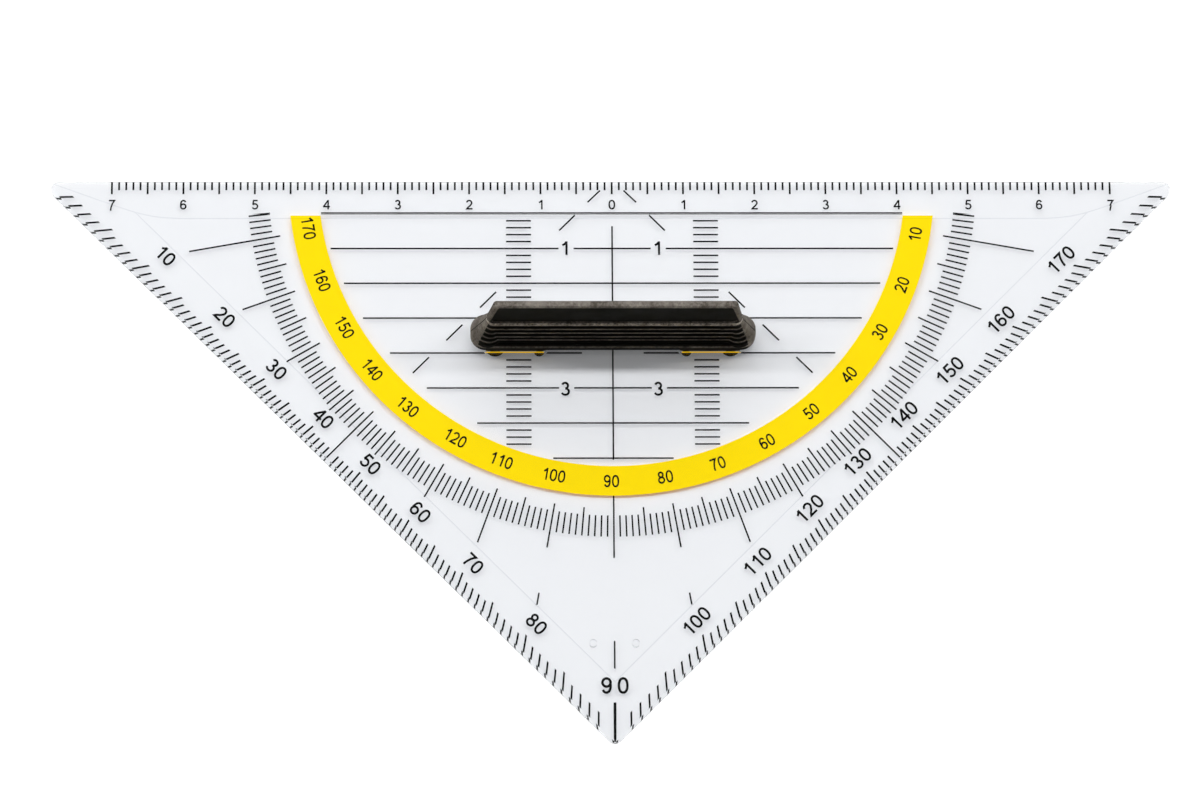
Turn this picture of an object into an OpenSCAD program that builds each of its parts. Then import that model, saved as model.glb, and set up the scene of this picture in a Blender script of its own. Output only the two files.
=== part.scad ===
// Geometry triangle: a clear 45 degree set square with a ruler, offset lines and a
// protractor printed on its underside, and a finger grip that snaps into two slots.
// Seen from above, the drawing edge is at +Y, the apex at -Y, and +Z is up.

/* [Plate] */
// Length of the drawing edge between its two sharp corners
edge_len = 160; // [150:1:240]
// Thickness of the plate inside the facets
plate_t = 2; // [1.6:0.1:3]
// Thickness of the rim at the foot of the facets
rim_t = 1.1; // [0.9:0.05:1.4]
// Radius of the three corners
corner_r = 1.1; // [0.5:0.1:3]
// Width of the facet along the drawing edge
ruler_facet_w = 4.9; // [3:0.1:6]
// Width of the facets along the two short sides
side_facet_w = 6.2; // [4:0.1:8]
// Width of the steep rim below the side facets
steep_rim_w = 0.4; // [0.3:0.05:1]
// Thickness of the short sides at their very edge
steep_rim_t = 0.6; // [0.3:0.05:0.8]

/* [Nubs] */
// Height of the nubs that hold the print off the paper
nub_h = 0.8; // [0.6:0.05:1.2]
// Diameter of a nub
nub_d = 1.07; // [0.8:0.01:1.6]
// Distance between the two nubs near the apex
apex_nub_gap = 5.9; // [4:0.1:8]
// Distance of those nubs from the sharp apex
apex_nub_reach = 14.45; // [12:0.05:18]

/* [Handle seat] */
// Distance from the drawing edge to the middle of the handle
handle_from_edge = 22; // [20:0.5:26]
// Length of one slot
slot_len = 8.6; // [7:0.1:9.4]
// Width of a slot
slot_w = 5.1; // [4.6:0.1:5.6]
// Distance from the end of a slot to the end of the flange above it
slot_end_gap = 2; // [1.7:0.1:2.6]
// Corner radius of a slot
slot_corner_r = 0.5; // [0.2:0.1:1]

/* [Handle] */
// Length of the handle's flange
flange_len = 39.7; // [39:0.1:44]
// Width of the flange
flange_w = 4.8; // [4.4:0.1:5.4]
// Height of the flange's upright edge
flange_edge_h = 1.2; // [0.8:0.1:1.6]
// Corner radius of the flange
flange_corner_r = 2.1; // [1:0.1:2.2]
// Height of the ledge on top of the ribbed flanks
ledge_h = 9.5; // [9:0.1:11]
// Distance from the end of the flange to the end of that ledge, along the handle
ledge_inset = 2.2; // [1:0.1:3]
// Width of the handle at that ledge
ledge_w = 2.1; // [1.9:0.05:2.5]
// Height of the whole handle above the plate
handle_h = 17.4; // [15:0.1:20]
// Distance from the end of the ledge to the end of the fin's top, along the handle
fin_top_inset = 0.9; // [0.5:0.1:2]
// Width of the fin at its top
fin_top_w = 0.94; // [0.8:0.02:1.2]
// Width of the shelf that the fin leaves on the ledge, along both faces
shelf_w = 0.16; // [0.1:0.02:0.3]
// Depth of the panel sunk into each face of the fin
panel_depth = 0.25; // [0.1:0.01:0.3]
// Width of the frame at the two ends of a panel
panel_frame = 0.8; // [0.7:0.1:2]
// Height of the rim above a panel
panel_rim = 0.3; // [0.25:0.05:1]
// Height of the lip below a panel
panel_lip = 0.3; // [0.1:0.05:1]
// Radius of a panel's lower corners
panel_corner_r = 0.8; // [0.3:0.1:2]
// Grooves in each ribbed flank
groove_count = 5; // [3:1:5]
// Height from one groove to the next
groove_pitch = 1.5; // [1.3:0.05:1.55]
// Height of a groove
groove_h = 0.7; // [0.4:0.05:0.9]
// Depth of a groove
groove_depth = 0.22; // [0.1:0.01:0.3]

/* [Snap feet] */
// Gap between a foot and the walls of its slot
foot_clear = 0.15; // [0.1:0.01:0.25]
// Thickness of one springy leg
leg_t = 1.2; // [0.8:0.05:1.5]
// Thickness of the bridge that joins a foot's two legs
bridge_t = 0.5; // [0.3:0.05:0.8]
// Reach of a hook past the wall of the slot
hook_reach = 0.45; // [0.3:0.05:0.6]
// Width of the outer hooks
outer_hook_w = 2.4; // [1.8:0.1:2.8]
// Width of the inner hooks
inner_hook_w = 1.5; // [1.3:0.1:1.8]
// Height of a hook
hook_h = 0.55; // [0.4:0.05:0.55]
// Gap between a hook and the underside of the plate
hook_clear = 0.05; // [0.02:0.01:0.1]

/* [Print] */
// Distance of the print's zero beyond the drawing edge
print_offset = 0.5; // [0:0.05:1]
// Thickness of the ink
ink_t = 0.04; // [0.02:0.01:0.08]
// Width of a printed stroke
stroke_w = 0.22; // [0.12:0.01:0.26]
// Width of a mark along the three edges
edge_stroke_w = 0.26; // [0.18:0.01:0.3]
// Width of the heavy stroke at the apex
apex_stroke_w = 0.28; // [0.2:0.01:0.4]
// Distance between two marks of the ruler and of the offset scales
mark_spacing = 1; // [1:1:2]
// Length of a plain ruler mark, from the edge
ruler_mark_len = 1.1; // [0.8:0.1:1.4]
// Length of every fifth ruler mark, from the edge
ruler_long_len = 1.7; // [1.5:0.1:2.4]
// Least distance from a ruler mark to the sharp corner
ruler_margin = 9; // [8:0.5:12]
// Distance between two offset lines
line_spacing = 5; // [4:0.5:6]
// Middle of an offset scale, measured from the centre line
ladder_x = 13.1; // [12.5:0.1:13.5]
// Width of an offset scale
ladder_w = 3.5; // [3:0.1:4]

/* [Protractor] */
// Distance from the short sides to the ring of degree marks
ring_from_rim = 5.8; // [5:0.1:7]
// Length of a one degree mark in the ring
ring_mark_len = 3; // [2:0.1:3.4]
// Extra inward length of every fifth ring mark
ring_long_extra = 1; // [0.5:0.1:1.4]
// Gap between the long ring marks and the yellow band
band_gap = 1.8; // [1:0.05:2.5]
// Width of the yellow band
band_w = 4.2; // [3:0.05:5]
// Depth of a one degree mark at the rim
rim_mark_depth = 1.95; // [1.5:0.05:2.2]
// Depth of every fifth rim mark
rim_long_depth = 2.5; // [2.3:0.05:3]
// Sideways distance from the zero to the centre that a rim scale points at
rim_centre_x = 0.89; // [0:0.01:1]
// Distance below the zero of the centre that a rim scale points at
rim_centre_y = 1.12; // [0:0.01:1.3]

/* [Hidden] */
$fn = 48;

// Overrun of every cut, and the thin slice that a loft is stretched between
overrun = 5;
slice_t = 0.02;
loft_fn = 32;
corner_steps = 12;

// Heights, from the paper up
under_z = nub_h;
top_z = under_z + plate_t;
apex_y = -edge_len / 2;
// The origin lies at the middle of the outline's box
plate_depth = edge_len / 2 - corner_r * (sqrt(2) - 1);
side_dist = edge_len / 2 / sqrt(2);

// The slots and what sits in them
slot_x = flange_len / 2 - slot_end_gap - slot_len / 2;
handle_y = -handle_from_edge;
foot_len = slot_len - 2 * foot_clear;
foot_w = slot_w - 2 * foot_clear;
hook_stand = hook_reach + foot_clear;
hook_inset = 0.1;
rear_nub_x = (flange_len - slot_end_gap) / 2;

// The handle's loft: height, length and width of each slice above the flange
ledge_len = flange_len - 2 * ledge_inset;
flange_slope_h = 0.5;
flange_slope_w = 0.8;
flank_foot_w = 3.7;
flank_foot_len = flange_len - flange_slope_w;
flank_belly_w = 3.24;
flank_belly_h = 4.65;
flank_belly_len = flank_foot_len - (flank_foot_len - ledge_len) * flank_belly_h / ledge_h;
first_groove_h = 2.4;
skirt_h = ledge_h - groove_pitch;
skirt_len = ledge_len + (flank_foot_len - ledge_len) * (1 - skirt_h / ledge_h);
skirt_w = lookup(skirt_h, [[flank_belly_h, flank_belly_w], [ledge_h, ledge_w]]);
fin_round = 0.2;
fin_foot_w = ledge_w - 2 * shelf_w;
fin_foot_len = ledge_len;
fin_top_len = ledge_len - 2 * fin_top_inset;
fin_rise = handle_h - fin_round - ledge_h;
flank_widths = [[0, flank_foot_w], [flank_belly_h, flank_belly_w], [ledge_h, ledge_w]];

// The print, measured from its zero
rim_sum = edge_len / 2 + print_offset;
ring_r = rim_sum / sqrt(2) - ring_from_rim;
band_out_r = ring_r - ring_mark_len - ring_long_extra - band_gap;
band_in_r = band_out_r - band_w;
band_cut_y = 5.25;
number_gap_in = 5.4;
number_gap_out = 7.5;
marks_per_number = 10;
ruler_half = marks_per_number
    * floor((edge_len / 2 - ruler_margin) / mark_spacing / marks_per_number);
slot_margin = 0.2;
// Where each offset line ends, as a share of its chord in the yellow band's inner circle
line_end_shares = [0.998, 0.987, 0.979, 0.969, 0.951, 0.921, 0.876, 0.876];
// How far the rays at 10, 20 ... 80 degrees run out, as a share of the ring's radius
ray_end_shares = [1.174, 1.074, 1.024, 1.006, 1.006, 1.025, 1.08, 1.045];
ray_rest_start_share = 1.172;
ray_rest_end_share = 1.205;
// Dashes on the 45 degree rays, as shares of the ray's way from one offset line to the next
dash_shares = [[0.33, 0.68], [1.04, 1.48], [3.25, 3.7], [4.19, 4.64], [5.12, 5.57]];
dash_unit = line_spacing * sqrt(2);
// Stretches of the centre line, and of the mark at the apex
centre_start = 6.8;
centre_band_clear = 0.9;
centre_ring_over = 3;
centre_low_start_share = 0.817;
centre_low_end_share = 0.865;
apex_mark_start_share = 0.923;
apex_mark_clear = 0.55;
centre_gap_half = 4.3;
ladder_first = 6;

function arc_points(centre, r, from, to, steps) = [
    for (i = [0 : steps]) let (a = from + (to - from) * i / steps) centre + r * [cos(a), sin(a)]
];

// A point on the ray at a given degree from a rim scale's centre, shifted sideways,
// where the sum of its distances from the two axes is a given sum
function rim_point(deg, sum, shift) =
    let (reach = (sum - rim_centre_x - rim_centre_y - shift * (cos(deg) - sin(deg)))
                 / (cos(deg) + sin(deg)))
    [rim_centre_x + reach * cos(deg) - shift * sin(deg),
     -(rim_centre_y + reach * sin(deg) + shift * cos(deg))];

function chord_half(y) = sqrt(max(0, band_in_r * band_in_r - y * y));

// Everything is drawn with the middle of the drawing edge at zero, then moved
module seat() {
    translate([0, plate_depth / 2, 0]) children();
}

module plate_outline() {
    polygon(concat(
        arc_points([0, apex_y + corner_r * sqrt(2)], corner_r, -135, -45, corner_steps),
        arc_points([edge_len / 2 - corner_r / tan(22.5), -corner_r], corner_r, -45, 90, corner_steps),
        arc_points([-edge_len / 2 + corner_r / tan(22.5), -corner_r], corner_r, 90, 225, corner_steps)
    ));
}

module rounded_rect(length, width, r) {
    polygon(concat(
        arc_points([length / 2 - r, width / 2 - r], r, 0, 90, corner_steps),
        arc_points([-length / 2 + r, width / 2 - r], r, 90, 180, corner_steps),
        arc_points([-length / 2 + r, -width / 2 + r], r, 180, 270, corner_steps),
        arc_points([length / 2 - r, -width / 2 + r], r, 270, 360, corner_steps)
    ));
}

// Removes what lies above a plane that falls outwards from a line parallel to +Y's edge
module facet_cut(inner_dist, inner_z, fall) {
    translate([-edge_len, inner_dist, inner_z]) rotate([-fall, 0, 0])
        cube([2 * edge_len, edge_len, edge_len]);
}

module slot_windows(margin) {
    for (side = [-1, 1]) translate([side * slot_x, handle_y])
        rounded_rect(slot_len + 2 * margin, slot_w + 2 * margin, slot_corner_r + margin);
}

module nub(x, y) {
    translate([x, y, 0]) cylinder(d = nub_d, h = nub_h + slice_t);
}

module plate() {
    ruler_fall = atan((plate_t - rim_t) / ruler_facet_w);
    side_fall = atan((plate_t - rim_t) / side_facet_w);
    steep_z = rim_t + (plate_t - rim_t) * steep_rim_w / side_facet_w;
    steep_fall = atan((steep_z - steep_rim_t) / steep_rim_w);
    color([0.86, 0.92, 0.97, 0.35]) seat() {
        difference() {
            translate([0, 0, under_z]) linear_extrude(plate_t) plate_outline();
            facet_cut(-ruler_facet_w, top_z, ruler_fall);
            for (turn = [-135, 135]) rotate([0, 0, turn]) {
                facet_cut(side_dist - side_facet_w, top_z, side_fall);
                facet_cut(side_dist - steep_rim_w, under_z + steep_z, steep_fall);
            }
            translate([0, 0, under_z - overrun]) linear_extrude(plate_t + 2 * overrun)
                slot_windows(0);
        }
        for (side = [-1, 1]) {
            nub(side * apex_nub_gap / 2, apex_y + apex_nub_reach);
            nub(side * rear_nub_x, handle_y);
        }
    }
}

// One slice of the handle's loft, with full round ends
module slice(length, width, z) {
    for (side = [-1, 1]) translate([side * (length - width) / 2, 0, z])
        cylinder(d = width, h = slice_t, $fn = loft_fn);
}

module flange() {
    linear_extrude(flange_edge_h) rounded_rect(flange_len, flange_w, flange_corner_r);
    hull() {
        translate([0, 0, flange_edge_h - slice_t]) linear_extrude(slice_t)
            rounded_rect(flange_len, flange_w, flange_corner_r);
        slice(flange_len - flange_slope_w, flange_w - flange_slope_w, flange_edge_h + flange_slope_h);
    }
}

module flanks() {
    hull() {
        slice(flank_foot_len, flank_foot_w, 0);
        slice(flank_belly_len, flank_belly_w, flank_belly_h);
        slice(ledge_len, ledge_w, ledge_h - slice_t);
    }
}

// At each end the flank spreads out to the edge of the flange
module end_skirts() {
    for (side = [-1, 1]) hull() {
        translate([side * (flange_len - flange_w) / 2, 0, flange_edge_h - slice_t])
            cylinder(d = flange_w, h = slice_t, $fn = loft_fn);
        translate([side * (skirt_len - skirt_w) / 2, 0, skirt_h - slice_t])
            cylinder(d = skirt_w, h = slice_t, $fn = loft_fn);
    }
}

module fin() {
    hull() {
        slice(fin_foot_len, fin_foot_w, ledge_h - slice_t);
        slice(fin_top_len, fin_top_w, handle_h - fin_round);
        slice(fin_top_len - 2 * fin_round, fin_top_w - 2 * fin_round, handle_h - slice_t);
    }
}

module finger_grooves() {
    for (i = [0 : groove_count - 1]) {
        z = first_groove_h + i * groove_pitch;
        floor_y = lookup(z, flank_widths) / 2 - groove_depth;
        for (side = [0, 1]) mirror([0, side, 0])
            translate([-flange_len, floor_y, z - groove_h / 2])
                cube([2 * flange_len, flange_w, groove_h]);
    }
}

// The panels lean with the faces of the fin and narrow towards its top with it
module fin_panels() {
    lean = atan((fin_foot_w - fin_top_w) / 2 / fin_rise);
    low = fin_foot_len / 2 - panel_frame;
    high = fin_top_len / 2 - panel_frame;
    r = panel_corner_r;
    for (side = [0, 1]) mirror([0, side, 0])
        translate([0, panel_depth - fin_foot_w / 2, ledge_h]) rotate([90 - lean, 0, 0])
            linear_extrude(overrun) polygon(concat(
                arc_points([r - low, panel_lip + r], r, 180, 270, corner_steps),
                arc_points([low - r, panel_lip + r], r, 270, 360, corner_steps),
                [[high, fin_rise - panel_rim], [-high, fin_rise - panel_rim]]
            ));
}

module handle_grip() {
    color([0.13, 0.13, 0.13]) seat() translate([0, handle_y, top_z]) {
        flange();
        difference() {
            union() {
                flanks();
                end_skirts();
            }
            finger_grooves();
        }
        difference() {
            fin();
            fin_panels();
        }
    }
}

// A hook is a slice of a cone: as wide as asked where it leaves the leg
module hook(width) {
    r = (width * width / 4 + hook_stand * hook_stand) / (2 * hook_stand);
    hook_z = -plate_t - hook_clear - hook_h;
    intersection() {
        translate([0, foot_w / 2 + hook_stand - r, hook_z])
            cylinder(r1 = r - hook_reach / 2, r2 = r, h = hook_h);
        translate([-width, foot_w / 2 - leg_t / 2, hook_z - overrun])
            cube([2 * width, overrun, 2 * overrun]);
    }
}

module snap_foot() {
    leg_h = plate_t + hook_clear + hook_h;
    for (side = [0, 1]) mirror([0, side, 0]) {
        translate([-foot_len / 2, foot_w / 2 - leg_t, -leg_h]) cube([foot_len, leg_t, leg_h]);
        translate([(foot_len - outer_hook_w) / 2 - hook_inset, 0, 0]) hook(outer_hook_w);
        translate([(inner_hook_w - foot_len) / 2 + hook_inset, 0, 0]) hook(inner_hook_w);
    }
    translate([-foot_len / 2, -foot_w / 2, -bridge_t]) cube([foot_len, foot_w, bridge_t]);
}

module left_snap_foot() {
    color([0.15, 0.15, 0.15]) seat() translate([-slot_x, handle_y, top_z])
        mirror([1, 0, 0]) snap_foot();
}

module right_snap_foot() {
    color([0.15, 0.15, 0.15]) seat() translate([slot_x, handle_y, top_z]) snap_foot();
}

// Lays a flat drawing, measured from the print's zero, on the underside of the plate
module ink() {
    seat() translate([0, print_offset, under_z - ink_t]) linear_extrude(ink_t) children();
}

module upright_stroke(x, from, to, width) {
    translate([x - width / 2, -to]) square([width, to - from]);
}

module level_stroke(y, from, to) {
    translate([from, -y - stroke_w / 2]) square([to - from, stroke_w]);
}

module radial_stroke(deg, from, to) {
    rotate(-deg) translate([from, -stroke_w / 2]) square([to - from, stroke_w]);
}

module protractor_band() {
    color([1, 0.87, 0]) ink() difference() {
        circle(r = band_out_r, $fn = 180);
        circle(r = band_in_r, $fn = 180);
        translate([-edge_len, -band_cut_y]) square([2 * edge_len, edge_len]);
    }
}

module edge_ruler_marks() {
    color([0.08, 0.08, 0.08]) ink()
        for (i = [-ruler_half : ruler_half])
            upright_stroke(i * mark_spacing, print_offset,
                print_offset + (i % 5 == 0 ? ruler_long_len : ruler_mark_len), edge_stroke_w);
}

// One offset line: two halves, with gaps for a number and at the middle where asked
module offset_line(row) {
    y = row * line_spacing;
    share = line_end_shares[min(row, len(line_end_shares)) - 1];
    end = chord_half(y) * share;
    numbered = row % 2 == 0 && end > number_gap_out * 2;
    start = y > handle_from_edge && y < handle_from_edge + line_spacing ? centre_gap_half : 0;
    for (side = [0, 1]) mirror([side, 0]) {
        if (numbered) {
            level_stroke(y, start, number_gap_in);
            level_stroke(y, number_gap_out, end);
        } else {
            level_stroke(y, start, end);
        }
    }
}

module offset_line_grid() {
    rows = floor(band_in_r / line_spacing);
    color([0.08, 0.08, 0.08]) ink() difference() {
        union() {
            for (row = [1 : rows]) offset_line(row);
            upright_stroke(0, centre_start, band_in_r - centre_band_clear, stroke_w);
            upright_stroke(0, band_out_r, ring_r + centre_ring_over, stroke_w);
            upright_stroke(0, rim_sum * centre_low_start_share, rim_sum * centre_low_end_share,
                stroke_w);
        }
        translate([0, -print_offset]) slot_windows(slot_margin);
    }
}

module offset_scale() {
    last = floor(chord_half(ladder_x + ladder_w / 2) / mark_spacing);
    difference() {
        for (i = [ladder_first : last]) if (i * mark_spacing % line_spacing != 0)
            level_stroke(i * mark_spacing, ladder_x - ladder_w / 2, ladder_x + ladder_w / 2);
        translate([0, -print_offset]) slot_windows(slot_margin);
    }
}

module left_offset_scale() {
    color([0.08, 0.08, 0.08]) ink() mirror([1, 0]) offset_scale();
}

module right_offset_scale() {
    color([0.08, 0.08, 0.08]) ink() offset_scale();
}

module diagonal_guides() {
    color([0.08, 0.08, 0.08]) ink() for (deg = [45, 135]) {
        for (dash = dash_shares) if (dash_unit * dash[1] < band_in_r)
            radial_stroke(deg, dash_unit * dash[0], dash_unit * dash[1]);
        radial_stroke(deg, ring_r - ring_mark_len - ring_long_extra, rim_sum / sqrt(2) - stroke_w);
    }
}

module ring_degree_marks() {
    first = ceil(asin(band_cut_y / ring_r));
    color([0.08, 0.08, 0.08]) ink()
        for (deg = [first : 180 - first]) if (deg % 10 != 0 && deg % 90 != 45)
            radial_stroke(deg, ring_r - ring_mark_len - (deg % 5 == 0 ? ring_long_extra : 0), ring_r);
}

module ten_degree_rays() {
    start = ring_r - ring_mark_len - ring_long_extra;
    last = len(ray_end_shares);
    color([0.08, 0.08, 0.08]) ink() for (side = [0, 1]) mirror([side, 0]) {
        for (i = [1 : last]) radial_stroke(10 * i, start, ring_r * ray_end_shares[i - 1]);
        radial_stroke(10 * last, ring_r * ray_rest_start_share, ring_r * ray_rest_end_share);
    }
}

module rim_degree_scale() {
    for (deg = [1 : 89]) if (deg != 45) {
        inner = rim_sum - sqrt(2) * (deg % 5 == 0 ? rim_long_depth : rim_mark_depth);
        polygon([
            rim_point(deg, inner, -edge_stroke_w / 2), rim_point(deg, rim_sum, -edge_stroke_w / 2),
            rim_point(deg, rim_sum, edge_stroke_w / 2), rim_point(deg, inner, edge_stroke_w / 2)
        ]);
    }
}

module left_rim_degree_scale() {
    color([0.08, 0.08, 0.08]) ink() mirror([1, 0]) rim_degree_scale();
}

module right_rim_degree_scale() {
    color([0.08, 0.08, 0.08]) ink() rim_degree_scale();
}

module apex_mark() {
    color([0.08, 0.08, 0.08]) ink()
        upright_stroke(0, rim_sum * apex_mark_start_share, rim_sum - apex_mark_clear, apex_stroke_w);
}

plate();
handle_grip();
left_snap_foot();
right_snap_foot();
protractor_band();
edge_ruler_marks();
offset_line_grid();
left_offset_scale();
right_offset_scale();
diagonal_guides();
ring_degree_marks();
ten_degree_rays();
left_rim_degree_scale();
right_rim_degree_scale();
apex_mark();
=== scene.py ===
"""Dresses the geometry triangle: clear plate, black and yellow print, numerals, grip and stage."""

import math
from functools import cache, partialmethod

import bmesh
import bpy
from mathutils import Matrix, Vector, geometry


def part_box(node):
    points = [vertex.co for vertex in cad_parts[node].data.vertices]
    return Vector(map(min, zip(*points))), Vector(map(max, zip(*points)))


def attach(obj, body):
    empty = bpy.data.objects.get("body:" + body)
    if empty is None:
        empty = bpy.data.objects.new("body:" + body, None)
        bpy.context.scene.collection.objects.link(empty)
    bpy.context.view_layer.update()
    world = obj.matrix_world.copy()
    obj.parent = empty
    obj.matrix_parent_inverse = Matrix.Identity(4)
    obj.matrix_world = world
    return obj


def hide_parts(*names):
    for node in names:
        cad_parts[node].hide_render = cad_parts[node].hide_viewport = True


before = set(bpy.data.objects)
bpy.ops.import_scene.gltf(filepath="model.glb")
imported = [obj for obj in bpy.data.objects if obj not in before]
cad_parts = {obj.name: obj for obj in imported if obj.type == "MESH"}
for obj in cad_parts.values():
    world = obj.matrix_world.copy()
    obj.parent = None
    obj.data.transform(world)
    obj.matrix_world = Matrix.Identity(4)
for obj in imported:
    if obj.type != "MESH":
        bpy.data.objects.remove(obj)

bl_info = {
    "name": "Geometry Triangle",
    "version": (1, 0, 0),
    "blender": (4, 5, 0),
    "location": "3D View > Sidebar > Geometry Triangle",
    "description": "Clear set square with a printed protractor and a snap-on finger grip",
    "category": "Object",
}

PLATE_BODY = "printed_plate"
GRIP_BODY = "detachable_handle"
MM = 0.001

# The plate in the row frame: drawing edge, the print's layer, and its zero beyond that edge
DRAWING_EDGE_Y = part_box("plate")[1].y
INK_LOW_Z, UNDERSIDE_Z = (corner.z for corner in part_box("edge_ruler_marks"))
PRINT_OFFSET = 0.5 * MM
PRINT_ZERO_Y = DRAWING_EDGE_Y + PRINT_OFFSET
PLATE_HALF = 80 * MM
# The degree lines of the short sides start at this point, and end where x and y add up to the sum
RIM_CENTRE = (0.89 * MM, 1.12 * MM)
RIM_SUM = PLATE_HALF + PRINT_OFFSET
# Cosines between which an edge counts as the one where a rim turns steep
GENTLE_RIM, STEEP_RIM_LOW, STEEP_RIM_HIGH = 0.95, 0.3, 0.8
RIM_SEGMENTS = 6

# Cleaning of the plate's mesh before its rims are rounded
WELD_DISTANCE, FLAT_ANGLE = 1e-7, math.radians(0.4)

# Painted shade lines where the rims' facet edges show in the plate: the ruler line's soft bend, the
# height that parts the plate's top from its underside, and the painted shade rings round the
# front nubs
LINE_BEND_ROUND = 6 * MM
TOP_SIDE_Z = UNDERSIDE_Z + 0.5 * MM
NUB_X, NUB_Y = 2.95 * MM, -25.778 * MM
NUB_RING_R, NUB_RING_HALF, NUB_FOOT_Z = 0.4 * MM, 0.14 * MM, 0.05 * MM
# Rays that have bounced more often than this go straight on, so that the edges stay clear
TRAPPED_DEPTH = 3.5

# The grip in the row frame: its middle, foot, ledge and top
GRIP_LOW, GRIP_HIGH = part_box("handle_grip")
GRIP_Y = (GRIP_LOW.y + GRIP_HIGH.y) / 2
LEDGE_Z = GRIP_LOW.z + 9.5 * MM
# Distance from the middle to the flanks' ends at foot and ledge, and the panel's taper above that;
# beyond these ends the grip is painted lit
FLANK_END_LOW, FLANK_END_HIGH = 19.05 * MM, 17.3 * MM
PANEL_TAPER = 1.35 * MM
END_FADE = 0.05 * MM
# Painted highlights on the ledge's lip and on the brow above the panels
LIP_Z, LIP_HALF = LEDGE_Z - 0.05 * MM, 0.36 * MM
BROW_Z = GRIP_HIGH.z - 0.85 * MM
# The rows of ribs: pitch, start of the first row, half heights where a crest's painted highlight
# begins and is full; the grooves are painted shade
RIB_PITCH = 1.5 * MM
RIB_ROW_Z = GRIP_LOW.z + 1.65 * MM
CREST_START, CREST_FULL = 0.45 * MM, 0.65 * MM
RIBS_LOW_Z, RIBS_HIGH_Z = GRIP_LOW.z + 1.9 * MM, LEDGE_Z - 0.3 * MM
LOW_GROOVE_Z, LOW_GROOVE_HALF = GRIP_LOW.z + 1.72 * MM, 0.4 * MM
# Cosines to Y between which a face turns from a smooth flank in painted shade to a coarse-grained
# face painted lit, and the bump where it is smooth
LIT_FACING, SMOOTH_BUMP = (0.93, 0.75), 0.2
# The parting line shows where a face leans along X by more than this
SEAM_LEAN = 0.3
# The round marks on the flanks: place from the grip's middle and foot, radius and rise
MARK_X, MARK_Y, MARK_Z = 14.95 * MM, 1.12 * MM, 7.65 * MM
MARK_R, MARK_RISE = 0.5 * MM, 0.22 * MM

# Half the width of a slot, and the ends of its wall from the middle outwards
SLOT_HALF_W = 2.55 * MM
SLOT_NEAR, SLOT_FAR = 9.6 * MM, 17.8 * MM

# Share of a mask's half width that is full
MASK_CORE = 0.4
# Detail and roughness of each noise, and the ranges in which they turn to colour, gloss and wear
GRAIN_NOISE, MOTTLE_NOISE, FLOW_NOISE, WEAR_NOISE = (3.0, 0.6), (4.0, 0.55), (2.0, 0.5), (5.0, 0.7)
COLOUR_RANGE, GLOSS_RANGE, WEAR_RANGE = (0.75, 1.3), (0.3, 0.7), (0.35, 0.75)
# Mottle per metre, and the finish of the print: grain per metre, roughness, bump and specular
PLASTIC_MOTTLE, BLACK_MOTTLE, YELLOW_MOTTLE = 420.0, 700.0, 500.0
INK_GRAIN, INK_ROUGHNESS, INK_BUMP, INK_SPECULAR = 9000.0, (0.5, 0.65), 0.000001, 0.04
# The mottle's second colour, as a share of the ink's own
BLACK_LIGHT, YELLOW_DARK = 1.8, 0.97
GRIP_ROUGHNESS, FOOT_ROUGHNESS = (0.55, 0.7), (0.45, 0.6)
FOOT_BUMP, PLASTIC_SPECULAR = 0.000004, 0.02
# The feet stand in the grip's shade and in its colours at this share
FOOT_SHADE = 0.4

# Places of the numbers, from the print's zero
RULER_NUMBERS_Y = -3.76 * MM
OFFSET_NUMBERS, OFFSET_NUMBERS_X = (("1", -9.95), ("3", -30.12)), (-6.65, 6.3)
BAND_NUMBERS_R, BAND_TURN = 43.28 * MM, 0.45
APEX_NUMBER_Y = -71.93 * MM
RIM_NUMBERS_DEPTH = 4.3 * MM
BAND_SQUEEZE, RIM_TRACKING, APEX_TRACKING = 0.86, 1.02, 1.23
# How far single numbers stand off their even spacing, in mm, by degree
BAND_NUDGES = {
    10: (-0.06, -0.17), 20: (-0.04, -0.12), 30: (0, -0.08), 40: (-0.03, -0.08), 90: (0.04, 0.02),
    100: (-0.48, 0.16), 110: (-0.49, 0.26), 120: (-0.05, 0.22), 130: (-0.51, 0.32),
    140: (-0.18, 0.23), 150: (0.24, 0.1), 160: (0.22, 0), 170: (0.21, 0.17)}
LEFT_RIM_NUDGES = {
    10: (0.71, 0.45), 20: (0.3, 0.38), 30: (0.15, 0.28), 50: (0.07, -0.06), 60: (0.29, -0.15),
    70: (0.18, 0.03), 80: (0.11, 0.32)}
RIGHT_RIM_NUDGES = {
    40: (0.09, 0.22), 50: (-0.07, 0.02), 60: (-0.19, 0.02), 70: (-0.22, -0.13), 80: (-0.08, 0.14)}
# Per short side: piece, side, reading direction, turn of its numbers and its growth, nudges
RIM_NUMBERS = (
    ("left_rim_numerals", -1, -45, -0.9, 0.0235, LEFT_RIM_NUDGES),
    ("right_rim_numerals", 1, 45, -0.5, 0.012, RIGHT_RIM_NUDGES),
)

# The stage in metres. Lamps: name, place, size, and the property that holds the power
LAMPS = (
    ("left_lamp", (-0.9, 0.15, 0.76), (0.6, 0.6), "left_power"),
    ("right_lamp", (0.9, 0.15, 0.76), (0.6, 0.6), "right_power"),
    ("back_lamp", (0, 0.72, 0.78), (1.2, 0.7), "back_power"),
    ("strip_lamp", (0, 0.2, 0.83), (1.6, 0.04), "strip_power"),
)
FLOOR_HALF = 6.0
# The floor turns white for the camera between these distances
FLOOR_WHITE_NEAR, FLOOR_WHITE_FAR = 0.2, 0.9
CANOPY_WAY, CANOPY_SHARPNESS = (0.0, 0.2, 0.98), 30.0
# Heights on the sky between which its white wall ends in reflections
WALL_LOW, WALL_HIGH = 0.55, 0.8
SENSOR_WIDTH = 36.0
CLIP_START, CLIP_END = 0.01, 50.0
# Height above the underside of the point that the camera's aim is measured to
AIM_RISE = 0.00067

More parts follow.
